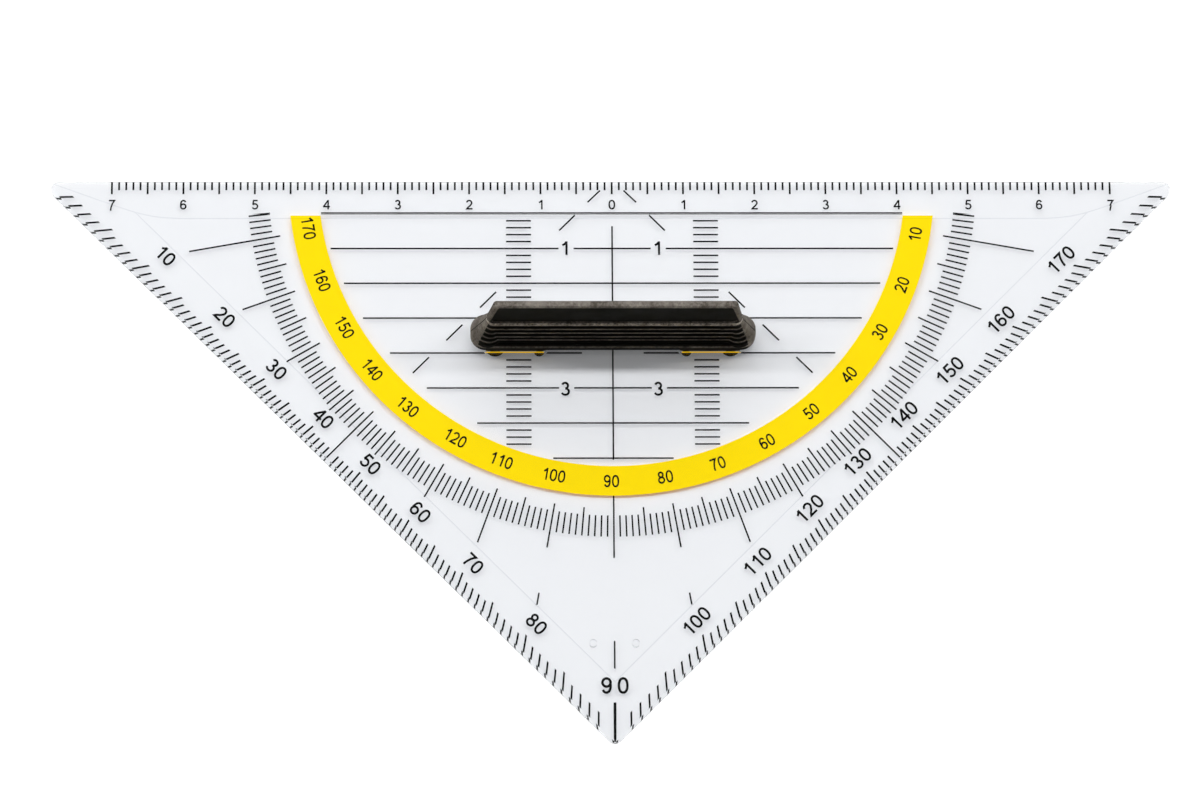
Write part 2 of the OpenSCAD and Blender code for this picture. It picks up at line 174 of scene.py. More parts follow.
# The printed nodes, by ink
YELLOW_NODES = ("protractor_band",)
BLACK_NODES = (
    "edge_ruler_marks", "offset_line_grid", "left_offset_scale", "right_offset_scale",
    "diagonal_guides", "ring_degree_marks", "ten_degree_rays", "left_rim_degree_scale",
    "right_rim_degree_scale", "apex_mark",
)


# Meshes


def placed(name, data):
    """A new object in the scene."""
    made = bpy.data.objects.new(name, data)
    bpy.context.scene.collection.objects.link(made)
    return made


def new_piece(name, verts, faces, material, body):
    """A mesh object that rides on a body and takes its finish from a slot."""
    mesh = bpy.data.meshes.new(name)
    mesh.from_pydata(verts, [], faces)
    mesh.validate()
    mesh.materials.append(material)
    piece = placed(name, mesh)
    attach(piece, body)
    return piece


def ellipse(cx, cy, rx, ry, start, end, count, power=2.0):
    """Points on a (super)ellipse from one angle to another, in degrees."""
    points = []
    for i in range(count + 1):
        a = math.radians(start + (end - start) * i / count)
        c, s = math.cos(a), math.sin(a)
        points.append((
            cx + rx * math.copysign(abs(c) ** (2 / power), c),
            cy + ry * math.copysign(abs(s) ** (2 / power), s),
        ))
    return points


def turned(paths):
    """Paths turned half round in the digit's own box."""
    return [(closed, [(DIGIT_WIDTH - x, 1 - y) for x, y in points]) for closed, points in paths]


# A digit's width, its step to the next one and its stroke, in units of its height
DIGIT_WIDTH = 0.65
DIGIT_ADVANCE = 0.777
STROKE = 0.155
# A stroke's mitre is cut off at corners whose cosine is under this
MITRE_LIMIT = 0.35
# Centre lines of the digits' strokes, in the same units
SIX = [
    (True, ellipse(0.33, 0.315, 0.25, 0.252, 0, 360, 28)[:-1]),
    (False, ellipse(0.34, 0.5, 0.26, 0.4375, 190, 36, 18, 2.2)),
]
DIGITS = {
    "0": [(True, ellipse(0.325, 0.5, 0.26, 0.4375, 0, 360, 32, 2.3)[:-1])],
    "1": [
        (False, [(0.46, 0.0), (0.46, 1.0)]),
        (False, [(0.165, 0.715), (0.30, 0.79), (0.385, 0.87), (0.44, 0.965)]),
    ],
    "2": [(False, ellipse(0.33, 0.69, 0.25, 0.2475, 168, -28, 16)
           + [(0.40, 0.37), (0.20, 0.20), (0.10, 0.0625), (0.665, 0.0625)])],
    "3": [
        (False, ellipse(0.315, 0.73, 0.21, 0.2075, 160, -88, 16)),
        (False, ellipse(0.325, 0.292, 0.26, 0.2295, 92, -158, 18)),
    ],
    "4": [
        (False, [(0.515, 0.0), (0.515, 1.0)]),
        (False, [(0.50, 0.955), (0.062, 0.30)]),
        (False, [(0.0, 0.295), (0.69, 0.295)]),
    ],
    "5": [
        (False, [(0.62, 0.9375), (0.205, 0.9375), (0.135, 0.50)]),
        (False, ellipse(0.335, 0.325, 0.265, 0.2625, 142, -156, 20)),
    ],
    "6": SIX,
    "7": [(False, [(0.05, 0.9375), (0.605, 0.9375), (0.50, 0.79), (0.40, 0.60),
                   (0.33, 0.40), (0.285, 0.20), (0.265, 0.0)])],
    "8": [
        (True, ellipse(0.325, 0.737, 0.205, 0.2005, 0, 360, 24)[:-1]),
        (True, ellipse(0.325, 0.292, 0.26, 0.2295, 0, 360, 26)[:-1]),
    ],
    "9": turned(SIX),
}


def ribbon(points, closed, width):
    """The outline points left and right of a stroke's centre line, mitred at its corners."""
    total = len(points)
    left, right = [], []
    for i, point in enumerate(points):
        here = Vector(point)
        before = Vector(points[i - 1]) if closed or i else None
        after = Vector(points[(i + 1) % total]) if closed or i < total - 1 else None
        into = (here - before).normalized() if before is not None else None
        out = (after - here).normalized() if after is not None else None
        into = out if into is None else into
        out = into if out is None else out
        mitre = Vector((-into.y - out.y, into.x + out.x)).normalized()
        reach = width / 2 / max(MITRE_LIMIT, mitre.dot(Vector((-into.y, into.x))))
        left.append(here + mitre * reach)
        right.append(here - mitre * reach)
    return left, right


@cache
def digit_shape(char):
    """One digit as a flat union of its strokes: points and triangles."""
    verts, faces = [], []
    for closed, points in DIGITS[char]:
        left, right = ribbon(points, closed, STROKE)
        base, total = len(verts), len(points)
        verts += left + right
        for i in range(total if closed else total - 1):
            j = (i + 1) % total
            faces.append([base + total + i, base + total + j, base + j, base + i])
    flat = geometry.delaunay_2d_cdt(verts, [], faces, 0, 1e-5, True)
    return flat[0], [tri for tri, made_from in zip(flat[2], flat[5]) if made_from]


def add_number(verts, faces, text, place, turn, height, squeeze, tracking, low_z, high_z):
    """Adds a number as thin solids: place is its middle, turn its reading direction in degrees."""
    advance = DIGIT_ADVANCE * tracking
    middle = ((len(text) - 1) * advance + DIGIT_WIDTH) / 2
    spin = Matrix.Rotation(math.radians(turn), 2)
    for index, char in enumerate(text):
        points, triangles = digit_shape(char)
        base, total = len(verts), len(points)
        flat = []
        for p in points:
            local = Vector(((p.x + index * advance - middle) * squeeze, p.y - 0.5)) * height
            flat.append(spin @ local + Vector(place))
        verts += [(p.x, p.y, low_z) for p in flat] + [(p.x, p.y, high_z) for p in flat]
        edges = {}
        for tri in triangles:
            area = geometry.area_tri(*(flat[i].to_3d() for i in tri))
            if area <= 0:
                continue
            a, b, c = (flat[i] for i in tri)
            if (b - a).cross(c - a) < 0:
                tri = tri[::-1]
            faces.append([base + total + i for i in tri])
            faces.append([base + i for i in reversed(tri)])
            for i in range(3):
                edges[(tri[i], tri[(i + 1) % 3])] = True
        for i, j in edges:
            if (j, i) not in edges:
                faces.append([base + i, base + j, base + total + j, base + total + i])


def printed(x, y):
    """A point measured from the print's zero, in the row frame."""
    return (x, PRINT_ZERO_Y + y)


def nudged(place, nudges, degree):
    """A number's place with its offset from the even spacing."""
    x, y = nudges.get(degree, (0, 0))
    return place[0] + x * MM, place[1] + y * MM


def band_place(degree):
    """The middle of a number in the yellow band."""
    a = math.radians(degree + BAND_TURN)
    even = printed(BAND_NUMBERS_R * math.cos(a), -BAND_NUMBERS_R * math.sin(a))
    return nudged(even, BAND_NUDGES, degree)


def rim_place(side, degree, depth):
    """The point on a degree's line that lies a given depth inside a short side."""
    a = math.radians(degree)
    reach = (RIM_SUM - math.sqrt(2) * depth - sum(RIM_CENTRE)) / (math.cos(a) + math.sin(a))
    return printed(side * (RIM_CENTRE[0] + reach * math.cos(a)),
                   -(RIM_CENTRE[1] + reach * math.sin(a)))


def add_box(verts, faces, low, high):
    """Adds a closed box."""
    base = len(verts)
    verts += [
        (x, y, z)
        for z in (low[2], high[2]) for y in (low[1], high[1]) for x in (low[0], high[0])]
    quads = ((0, 2, 3, 1), (4, 5, 7, 6), (0, 1, 5, 4), (2, 6, 7, 3), (0, 4, 6, 2), (1, 3, 7, 5))
    for quad in quads:
        faces.append([base + i for i in quad])


def add_cap(verts, faces, middle, side, radius, rise, rings=5, steps=28):
    """Adds a shallow closed dome on a wall that faces along Y."""
    base = len(verts)
    for ring in range(rings):
        lean = math.pi / 2 * ring / rings
        for i in range(steps):
            a = 2 * math.pi * i / steps
            verts.append((middle[0] + radius * math.cos(lean) * math.cos(a),
                          middle[1] + side * rise * math.sin(lean),
                          middle[2] + radius * math.cos(lean) * math.sin(a)))
    verts.append((middle[0], middle[1] + side * rise, middle[2]))
    made = []
    for ring in range(rings - 1):
        for i in range(steps):
            j = (i + 1) % steps
            low, high = ring * steps, (ring + 1) * steps
            made.append([low + i, low + j, high + j, high + i])
    last = (rings - 1) * steps
    made += [[last + i, last + (i + 1) % steps, rings * steps] for i in range(steps)]
    made.append(list(reversed(range(steps))))
    for face in made:
        faces.append([base + i for i in (reversed(face) if side > 0 else face)])


# Materials


class Graph:
    """Short calls for a node tree."""

    def __init__(self, tree):
        self.tree = tree

    def node(self, kind, values=None, **settings):
        """Adds a node: its settings, then its inputs, each from a value, a socket or a node."""
        made = self.tree.nodes.new(kind)
        for key, value in settings.items():
            setattr(made, key, value)
        for key, value in (values or {}).items():
            if isinstance(value, bpy.types.Node):
                value = value.outputs[0]
            if isinstance(value, bpy.types.NodeSocket):
                self.tree.links.new(value, made.inputs[key])
            else:
                made.inputs[key].default_value = value
        return made

    def math(self, operation, *values):
        """The result of a sum on values or sockets."""
        return self.node("ShaderNodeMath", dict(enumerate(values)), operation=operation).outputs[0]

    minus = partialmethod(math, "SUBTRACT")
    times = partialmethod(math, "MULTIPLY")
    most = partialmethod(math, "MAXIMUM")
    size = partialmethod(math, "ABSOLUTE")
    over = partialmethod(math, "GREATER_THAN")
    under = partialmethod(math, "LESS_THAN")

    def remap(self, value, start, end, low=0.0, high=1.0, kind="LINEAR"):
        """A value taken from one range to another and kept in it."""
        return self.node("ShaderNodeMapRange", {
            "Value": value, "From Min": start, "From Max": end, "To Min": low, "To Max": high},
            interpolation_type=kind).outputs[0]

    def blend(self, share, first, second):
        """A mix of two colours."""
        return self.node("ShaderNodeMix", {"Factor": share, "A": first, "B": second},
                         data_type="RGBA").outputs["Result"]

    def noise(self, place, scale, detail, roughness):
        """Noise between zero and one."""
        return self.node("ShaderNodeTexNoise", {
            "Vector": place, "Scale": scale, "Detail": detail,
            "Roughness": roughness}).outputs["Fac"]


def grain_group():
    """Mottled colour, uneven gloss and a fine grain, for moulded plastic and ink."""
    found = bpy.data.node_groups.get("surface_grain")
    if found:
        return found
    tree = bpy.data.node_groups.new("surface_grain", "ShaderNodeTree")
    for name, kind, default in (
        ("Colour", "NodeSocketColor", (0.5, 0.5, 0.5, 1)),
        ("Light Colour", "NodeSocketColor", (0.6, 0.6, 0.6, 1)),
        ("Grain Size", "NodeSocketFloat", 4000.0),
        ("Mottle Size", "NodeSocketFloat", 300.0),
        ("Low Roughness", "NodeSocketFloat", 0.4),
        ("High Roughness", "NodeSocketFloat", 0.6),
    ):
        socket = tree.interface.new_socket(name, in_out="INPUT", socket_type=kind)
        socket.default_value = default
    for name, kind in (("Colour", "NodeSocketColor"), ("Roughness", "NodeSocketFloat"),
                       ("Height", "NodeSocketFloat")):
        tree.interface.new_socket(name, in_out="OUTPUT", socket_type=kind)
    g = Graph(tree)
    given = g.node("NodeGroupInput").outputs
    place = g.node("ShaderNodeTexCoord").outputs["Object"]
    grain = g.noise(place, given["Grain Size"], *GRAIN_NOISE)
    mottle = g.noise(place, given["Mottle Size"], *MOTTLE_NOISE)
    share = g.remap(g.math("ADD", grain, mottle), *COLOUR_RANGE)
    g.node("NodeGroupOutput", {
        "Colour": g.blend(share, given["Colour"], given["Light Colour"]),
        "Roughness": g.remap(mottle, *GLOSS_RANGE, given["Low Roughness"],
                             given["High Roughness"]),
        "Height": grain})
    return tree


def blank_material(name):
    """A material without nodes, and the short calls for its tree."""
    material = bpy.data.materials.new(name)
    material.use_nodes = True
    material.node_tree.nodes.clear()
    return material, Graph(material.node_tree)


def grained_surface(g, colour, light_colour, grain, mottle, roughness, bump, specular,
                    strength=1.0):
    """Ends a material in the shared grain; the colours and the bump's strength may be sockets."""
    group = g.node("ShaderNodeGroup", {
        "Colour": colour, "Light Colour": light_colour, "Grain Size": grain, "Mottle Size": mottle,
        "Low Roughness": roughness[0], "High Roughness": roughness[1]},
        node_tree=grain_group()).outputs
    normal = g.node("ShaderNodeBump", {
        "Height": group["Height"], "Strength": strength, "Distance": bump})
    shader = g.node("ShaderNodeBsdfPrincipled", {
        "Base Color": group["Colour"], "Roughness": group["Roughness"], "Normal": normal,
        "Specular IOR Level": specular})
    g.node("ShaderNodeOutputMaterial", {"Surface": shader})


def grained_material(name, colour, light_colour, *finish):
    """A moulded or printed finish of two plain colours."""
    material, g = blank_material(name)
    grained_surface(g, (*colour, 1), (*light_colour, 1), *finish)
    return material


def lamp_through(material, tint):
    """Lets a share of the lamp light pass a finished surface on its way to the paper."""
    g = Graph(material.node_tree)
    out = g.tree.get_output_node("ALL")
    surface = out.inputs["Surface"].links[0].from_socket
    through = g.node("ShaderNodeBsdfTransparent", {"Color": (*tint, 1)})
    lamp = g.node("ShaderNodeLightPath").outputs["Is Shadow Ray"]
    mix = g.node("ShaderNodeMixShader", {0: lamp, 1: surface, 2: through})
    g.tree.links.new(mix.outputs[0], out.inputs["Surface"])
    return material


def ink_material(name, colour, light_colour, mottle):
    """The finish of print, also taken by the slot walls' painted reflection."""
    return grained_material(name, colour, light_colour, INK_GRAIN, mottle, INK_ROUGHNESS, INK_BUMP,
                            INK_SPECULAR)


def black_ink(look):
    """The black print's material, made once."""
    return bpy.data.materials.get("black_ink_print") or lamp_through(ink_material(
        "black_ink_print", look.black, [c * BLACK_LIGHT for c in look.black], BLACK_MOTTLE),
        look.black_through)


def yellow_ink(look):
    """The yellow band's material, made once."""
    return bpy.data.materials.get("yellow_ink_print") or lamp_through(ink_material(
        "yellow_ink_print", [c * YELLOW_DARK for c in look.yellow], look.yellow, YELLOW_MOTTLE),
        look.yellow_through)


def band_mask(g, distance, half_width):
    """One where a distance is nearly zero, fading out at the half width."""
    return g.remap(g.size(distance), half_width, half_width * MASK_CORE, kind="SMOOTHSTEP")


def facet_lines(g, place, look):
    """Painted shade lines where the sloping rims meet the plate's flat top, and painted shade rings
    round the front nubs.
    """
    axes = g.node("ShaderNodeSeparateXYZ", {"Vector": place}).outputs
    aside = g.size(axes["X"])
    bend = g.math("SMOOTH_MAX", aside, look.line_bend_start, LINE_BEND_ROUND)
    bend = g.minus(bend, look.line_bend_start)
    ruler_y = g.math("MULTIPLY_ADD", bend, look.line_bend, DRAWING_EDGE_Y - look.ruler_line)
    above = g.minus(axes["Y"], ruler_y)
    ruler = band_mask(g, above, look.line_width)
    inside = g.math("ADD", g.minus(axes["Y"], aside), PLATE_HALF - DRAWING_EDGE_Y)
    off_line = g.minus(inside, math.sqrt(2) * look.side_line)
    side = band_mask(g, off_line, look.line_width * math.sqrt(2))
    side = g.times(side, g.under(above, 0.0))
    on_top = g.over(axes["Z"], TOP_SIDE_Z)
    lines = g.times(g.most(ruler, side), on_top)
    from_nub = g.node("ShaderNodeCombineXYZ", {
        "X": g.minus(aside, NUB_X), "Y": g.minus(axes["Y"], NUB_Y)})
    away = g.node("ShaderNodeVectorMath", {0: from_nub}, operation="LENGTH")
    ring = band_mask(g, g.minus(away.outputs["Value"], NUB_RING_R), NUB_RING_HALF)
    ring = g.times(ring, g.under(axes["Z"], NUB_FOOT_Z))
    return g.most(lines, ring)


def acrylic_material(look):
    """Clear acrylic that lets lamp light through, with hairline wear in its polish and painted
    shade lines at its facets' edges and round its nubs.
    """
    material, g = blank_material("clear_acrylic")
    place = g.node("ShaderNodeTexCoord").outputs["Object"]
    flow = g.noise(place, look.flow_scale, *FLOW_NOISE)
    wear = g.noise(place, look.wear_scale, *WEAR_NOISE)
    normal = g.node("ShaderNodeBump", {"Height": flow, "Distance": look.flow_depth})
    # Painted shade lines darken the tint at the facets' edges and round the nubs
    tint = g.blend(facet_lines(g, place, look), (*look.tint, 1), (*look.line_tint, 1))
    shader = g.node("ShaderNodeBsdfPrincipled", {
        "Base Color": tint,
        "Roughness": g.remap(wear, *WEAR_RANGE, look.polish, look.worn_polish),
        "IOR": look.ior, "Transmission Weight": 1.0, "Normal": normal})
    through = g.node("ShaderNodeBsdfTransparent", {"Color": (*look.lamp_tint, 1)})
    path = g.node("ShaderNodeLightPath").outputs
    lamp = g.most(path["Is Shadow Ray"], path["Is Diffuse Ray"])
    trapped = g.over(path["Ray Depth"], TRAPPED_DEPTH)
    mix = g.node("ShaderNodeMixShader", {0: g.most(lamp, trapped), 1: shader, 2: through})
    g.node("ShaderNodeOutputMaterial", {"Surface": mix})
    return material


def grip_masks(g, place, facing, rib_wear):
    """Where the grip is painted lit, with its coarse pale grain, and where the ledge's lip has a
    painted highlight.
    """
    height = place["Z"]
    # The top and the ends are painted lit, the flanks and panels painted shade
    lit_facing = g.remap(g.size(facing["Y"]), *LIT_FACING, kind="SMOOTHSTEP")
    flank_end = g.remap(height, GRIP_LOW.z, LEDGE_Z, FLANK_END_LOW, FLANK_END_HIGH)
    taper = g.remap(height, LEDGE_Z, GRIP_HIGH.z, 0.0, PANEL_TAPER)
    end = g.minus(flank_end, taper)
    lit_end = g.remap(g.minus(g.size(place["X"]), end), -END_FADE, END_FADE)
    # A painted highlight on the ledge's lip
    lip = band_mask(g, g.minus(height, LIP_Z), LIP_HALF)
    # Painted highlight on the ribs' crests, painted shade in the grooves and the lowest groove
    row = g.math("FLOORED_MODULO", g.minus(height, RIB_ROW_Z), RIB_PITCH)
    crest = g.remap(g.size(g.minus(row, RIB_PITCH / 2)), CREST_START, CREST_FULL)
    ribbed = g.times(g.under(height, RIBS_HIGH_Z), g.over(height, RIBS_LOW_Z))
    crest_highlight = g.times(g.times(crest, ribbed), rib_wear)
    groove = g.times(g.minus(1.0, crest), ribbed)
    low_groove = band_mask(g, g.minus(height, LOW_GROOVE_Z), LOW_GROOVE_HALF)
    flat = g.minus(1.0, g.most(groove, low_groove))
    lit_and_grainy = g.times(g.most(lit_facing, lit_end), flat)
    # A painted highlight on the brow above the panels
    brow = g.over(height, BROW_Z)
    for mask in (g.most(lip, crest_highlight), lit_end, brow):
        lit_and_grainy = g.most(lit_and_grainy, mask)
    return lit_and_grainy, lip


def grip_material(look):
    """Black plastic: smooth flanks and panels painted dark as shade, the top and the ends painted
    lit with a coarse pale grain.
    """
    material, g = blank_material("black_plastic_moulded")
    facing = g.node("ShaderNodeSeparateXYZ", {
        "Vector": g.node("ShaderNodeNewGeometry").outputs["Normal"]}).outputs
    place = g.node("ShaderNodeSeparateXYZ", {
        "Vector": g.node("ShaderNodeTexCoord").outputs["Object"]}).outputs
    lit_and_grainy, lip = grip_masks(g, place, facing, look.rib_wear)
    # Painted light and shade: lit colours on the top and the ends, shaded colours on the flanks
    dark = g.blend(lit_and_grainy, (*look.flank, 1), (*look.colour, 1))
    light = g.blend(lit_and_grainy, (*look.flank_light, 1), (*look.light_colour, 1))
    # The ledge's lip takes its painted highlight
    light = g.blend(lip, light, (*look.lip_light, 1))
    seam = band_mask(g, g.minus(place["Y"], GRIP_Y), look.seam_width)
    seam = g.times(seam, g.over(g.size(facing["X"]), SEAM_LEAN))
    dark, light = (g.blend(seam, value, (*look.flank, 1)) for value in (dark, light))
    strength = g.remap(lit_and_grainy, 0.0, 1.0, SMOOTH_BUMP)
    grained_surface(g, dark, light, look.grain, PLASTIC_MOTTLE, GRIP_ROUGHNESS, look.grain_depth,
                    PLASTIC_SPECULAR, strength)
    return material


def set_material(node, material):
    """Gives a CAD object its material."""
    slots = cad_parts[node].data.materials
    slots.clear()
    slots.append(material)


# What a user may change


class TrianglePlateLook(bpy.types.PropertyGroup):
    tint: bpy.props.FloatVectorProperty(
        name="Tint", description="Colour of the acrylic", subtype="COLOR", size=3, min=0, max=1,
        default=(0.975, 0.985, 1.0))
    lamp_tint: bpy.props.FloatVectorProperty(
        name="Lamp Tint", description="Share of lamp light that one face of the plate lets through",
        subtype="COLOR", size=3, min=0, max=1, default=(0.955, 0.96, 0.97))
    # The lines below are painted shade where the rims' facet edges show
    line_tint: bpy.props.FloatVectorProperty(
        name="Line Tint", description="Colour of the fine lines between the rims and the flat top",
        subtype="COLOR", size=3, min=0, max=1, default=(0.78, 0.8, 0.84))
    line_width: bpy.props.FloatProperty(
        name="Line Width", description="Half the width of those lines", subtype="DISTANCE",
        unit="LENGTH", default=0.00011, min=0, precision=5)
    ruler_line: bpy.props.FloatProperty(
        name="Ruler Line", description="Distance of the line from the drawing edge",
        subtype="DISTANCE", unit="LENGTH", default=0.0055, min=0, precision=5)
    side_line: bpy.props.FloatProperty(
        name="Side Line", description="Distance of the lines from the short sides",
        subtype="DISTANCE", unit="LENGTH", default=0.0062, min=0, precision=5)
    line_bend_start: bpy.props.FloatProperty(
        name="Line Bend Start",
        description="Where the ruler line turns to the tip, from the middle", subtype="DISTANCE",
        unit="LENGTH", default=0.0645, min=0, precision=5)
    line_bend: bpy.props.FloatProperty(
        name="Line Bend", description="Slope of the ruler line towards the tip", default=0.38,
        min=0)
    rim_round: bpy.props.FloatProperty(
        name="Rim Rounding", description="Width of the rounding where a rim turns steep",
        subtype="DISTANCE", unit="LENGTH", default=0.0005, min=0, precision=5)
    ior: bpy.props.FloatProperty(
        name="Refraction", description="Index of refraction of the acrylic", default=1.49, min=1.3,
        max=1.7)
    polish: bpy.props.FloatProperty(
        name="Polish", description="Roughness where the plate is as new", subtype="FACTOR",
        default=0.0, min=0, max=1)
    worn_polish: bpy.props.FloatProperty(
        name="Worn Polish", description="Roughness where the plate is rubbed", subtype="FACTOR",
        default=0.025, min=0, max=1)
    flow_scale: bpy.props.FloatProperty(
        name="Flow Scale", description="Moulding waves per metre", default=90.0, min=1)
    wear_scale: bpy.props.FloatProperty(
        name="Wear Scale", description="Rubbed patches per metre", default=260.0, min=1)
    flow_depth: bpy.props.FloatProperty(
        name="Flow Depth", description="Height of the moulding waves", subtype="DISTANCE",
        unit="LENGTH", default=0.000004, min=0, precision=6)


class TrianglePrintLook(bpy.types.PropertyGroup):
    black: bpy.props.FloatVectorProperty(
        name="Black", description="Colour of the black print", subtype="COLOR", size=3, min=0,
        max=1, default=(0.002, 0.002, 0.002))
    yellow: bpy.props.FloatVectorProperty(
        name="Yellow", description="Colour of the protractor band", subtype="COLOR", size=3, min=0,
        max=1, default=(1.0, 0.73, 0.0))
    black_through: bpy.props.FloatVectorProperty(
        name="Black Through",
        description="Share of lamp light that one face of the black lets through", subtype="COLOR",
        size=3, min=0, max=1, default=(0.78, 0.78, 0.8))
    yellow_through: bpy.props.FloatVectorProperty(
        name="Yellow Through",
        description="Share of lamp light that one face of the yellow lets through", subtype="COLOR",
        size=3, min=0, max=1, default=(0.6, 0.38, 0.12))
    # The slot walls' yellow is a painted reflection of the band, and its glow is painted light
    slot_yellow: bpy.props.FloatVectorProperty(
        name="Slot Yellow", description="Colour that the slot walls mirror", subtype="COLOR",
        size=3, min=0, max=1, default=(1.0, 0.57, 0.0))
    slot_glow: bpy.props.FloatProperty(
        name="Slot Glow", description="Light that the slot walls carry in from the band",
        default=0.45, min=0)
    bond: bpy.props.FloatProperty(
        name="Bond", description="How far the ink keys into the plate's underside",
        subtype="DISTANCE", unit="LENGTH", default=0.000003, min=0, precision=6)
    edge_depth: bpy.props.FloatProperty(
        name="Slot Edge Depth", description="Depth of the yellow behind a slot's wall",
        subtype="DISTANCE", unit="LENGTH", default=0.000065, min=0, precision=6)
    edge_start: bpy.props.FloatProperty(
        name="Slot Edge Start",
        description="Height above the print where a slot wall's yellow starts", subtype="DISTANCE",
        unit="LENGTH", default=0.0008, min=0, precision=5)
    edge_rise: bpy.props.FloatProperty(
        name="Slot Edge Rise", description="Height above the print where a slot wall's yellow ends",
        subtype="DISTANCE", unit="LENGTH", default=0.00118, min=0, precision=5)
    ruler_height: bpy.props.FloatProperty(
        name="Ruler Digits", description="Height of the ruler's digits", subtype="DISTANCE",
        unit="LENGTH", default=0.0014, min=0.0005, precision=5)
    band_height: bpy.props.FloatProperty(
        name="Band Digits", description="Height of the digits in the yellow band",
        subtype="DISTANCE", unit="LENGTH", default=0.00172, min=0.0005, precision=5)
    rim_height: bpy.props.FloatProperty(
        name="Rim Digits", description="Height of the digits along the short sides",
        subtype="DISTANCE", unit="LENGTH", default=0.00196, min=0.0005, precision=5)
    line_height: bpy.props.FloatProperty(
        name="Offset Line Digits", description="Height of the digits in the offset lines",
        subtype="DISTANCE", unit="LENGTH", default=0.00195, min=0.0005, precision=5)
    apex_height: bpy.props.FloatProperty(
        name="Apex Digits", description="Height of the digits above the apex", subtype="DISTANCE",
        unit="LENGTH", default=0.00225, min=0.0005, precision=5)


class TriangleGripLook(bpy.types.PropertyGroup):
    # Colour of the top and the ends, painted lit
    colour: bpy.props.FloatVectorProperty(
        name="Colour", description="Colour of the moulded grip", subtype="COLOR", size=3, min=0,
        max=1, default=(0.07, 0.061, 0.051))
    light_colour: bpy.props.FloatVectorProperty(
        name="Light Colour", description="Colour of the grain's high points", subtype="COLOR",
        size=3, min=0, max=1, default=(0.255, 0.23, 0.2))
    # Colour of the flanks and panels, painted as shade; the seam and the feet take it too
    flank: bpy.props.FloatVectorProperty(
        name="Flank", description="Colour of the ribbed flanks and the panels", subtype="COLOR",
        size=3, min=0, max=1, default=(0.0045, 0.0045, 0.0034))
    flank_light: bpy.props.FloatVectorProperty(
        name="Flank Light", description="Colour of the high points of the flanks", subtype="COLOR",
        size=3, min=0, max=1, default=(0.008, 0.0077, 0.006))
    # A painted highlight on the ledge's lip
    lip_light: bpy.props.FloatVectorProperty(
        name="Lip Light", description="Colour of the high points on the ledge's rubbed lip",
        subtype="COLOR", size=3, min=0, max=1, default=(0.75, 0.68, 0.6))
    grain: bpy.props.FloatProperty(
        name="Grain", description="Grains per metre", default=3000.0, min=100)
    grain_depth: bpy.props.FloatProperty(
        name="Grain Depth", description="Depth of the moulded grain", subtype="DISTANCE",
        unit="LENGTH", default=0.000012, min=0, precision=6)
    # A painted highlight on the ribs' crests
    rib_wear: bpy.props.FloatProperty(
        name="Rib Highlight", description="How far the ribs are rubbed pale", subtype="FACTOR",
        default=0.8, min=0, max=1)
    seam_width: bpy.props.FloatProperty(
        name="Seam Width", description="Half the width of the mould's parting line",
        subtype="DISTANCE", unit="LENGTH", default=0.00009, min=0, precision=5)


class TriangleStageLook(bpy.types.PropertyGroup):
    lens: bpy.props.FloatProperty(
        name="Lens", description="Focal length on a 36 mm wide sensor", subtype="DISTANCE_CAMERA",
        default=180.0, min=20)
    tilt: bpy.props.FloatVectorProperty(
        name="Tilt", description="Tilt of the camera against the plate", subtype="EULER",
        unit="ROTATION", size=3, default=tuple(math.radians(a) for a in (-12.651, 1.249, 0.328)))
    aim: bpy.props.FloatVectorProperty(
        name="Aim", description="The print's zero as the camera sees it", subtype="TRANSLATION",
        unit="LENGTH", size=3, default=(0.001639, 0.030959, -0.841739))
    left_power: bpy.props.FloatProperty(
        name="Left Lamp", description="Power of the soft lamp at the left", unit="POWER",
        default=3.0, min=0)
    right_power: bpy.props.FloatProperty(
        name="Right Lamp", description="Power of the soft lamp at the right", unit="POWER",
        default=1.0, min=0)
    back_power: bpy.props.FloatProperty(
        name="Back Lamp", description="Power of the broad lamp behind the drawing edge",
        unit="POWER", default=3.6, min=0)
    strip_power: bpy.props.FloatProperty(
        name="Strip Lamp", description="Power of the long narrow lamp above the drawing edge",
        unit="POWER", default=7.0, min=0)
    sky: bpy.props.FloatProperty(
        name="Sky", description="Strength of the light from all round", default=0.08, min=0)
    canopy: bpy.props.FloatProperty(
        name="Canopy", description="Strength of the soft light nearly overhead", default=1.4, min=0)
    reflected_sky: bpy.props.FloatProperty(
        name="Reflected Sky", description="Strength of the sky in reflections", default=0.12, min=0)
    sky_through: bpy.props.FloatProperty(
        name="Sky Through Plate", description="Strength of the sky where the plate's edges show it",
        default=0.75, min=0)
    floor: bpy.props.FloatVectorProperty(
        name="Floor", description="Colour of the floor as the lamps see it", subtype="COLOR",
        size=3, min=0, max=1, default=(0.8, 0.8, 0.8))
    floor_glow: bpy.props.FloatProperty(
        name="Floor White", description="White added to the floor for the camera", default=0.28,
        min=0)
    floor_glow_through: bpy.props.FloatProperty(
        name="Floor White Through Plate",
        description="White added to the floor where glass shows it", default=0.094, min=0)


# The pieces


